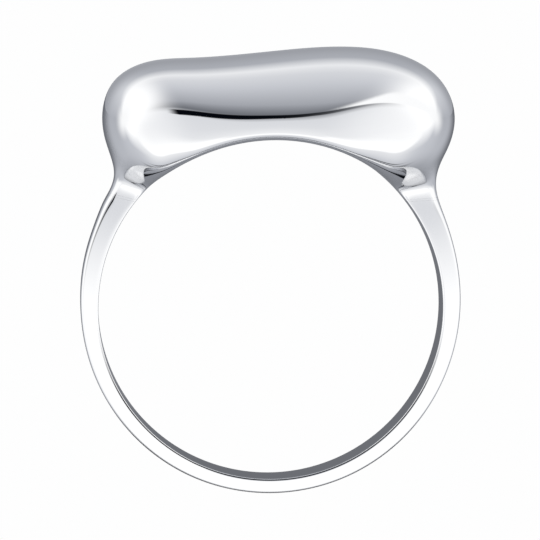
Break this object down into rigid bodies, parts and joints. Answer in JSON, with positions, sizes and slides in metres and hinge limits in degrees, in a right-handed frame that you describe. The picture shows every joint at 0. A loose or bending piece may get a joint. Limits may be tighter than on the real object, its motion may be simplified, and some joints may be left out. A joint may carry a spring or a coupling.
{
  "type": "signet ring",
  "caption": "Blank pillow-top signet ring: a hollow domed head with rounded lobes over the finger, carried by a slim plain band.",
  "frame": {"origin": "centre of the round finger hole, half way between the band's two sides", "axes": "Y runs along the finger, with -Y the front; +Z points from the hole's centre up through the middle of the head; +X is to the right as the front is seen"},
  "size_m": [0.0194, 0.0108, 0.0227],
  "materials": {
    "head_metal": "mirror-polished rhodium-plated sterling silver",
    "shank_metal": "mirror-polished rhodium-plated sterling silver",
    "plate_metal": "polished sterling silver, finger side, slightly softer than the head",
    "solder_metal": "silver solder dressed flush and polished"
  },
  "bodies": {
    "root": {"head_shell": "head_metal", "shank": "shank_metal", "finger_plate": "plate_metal", "plate_solder_seam": "solder_metal", "solder_seam_left": "solder_metal", "solder_seam_right": "solder_metal"}
  },
  "joints": []
}
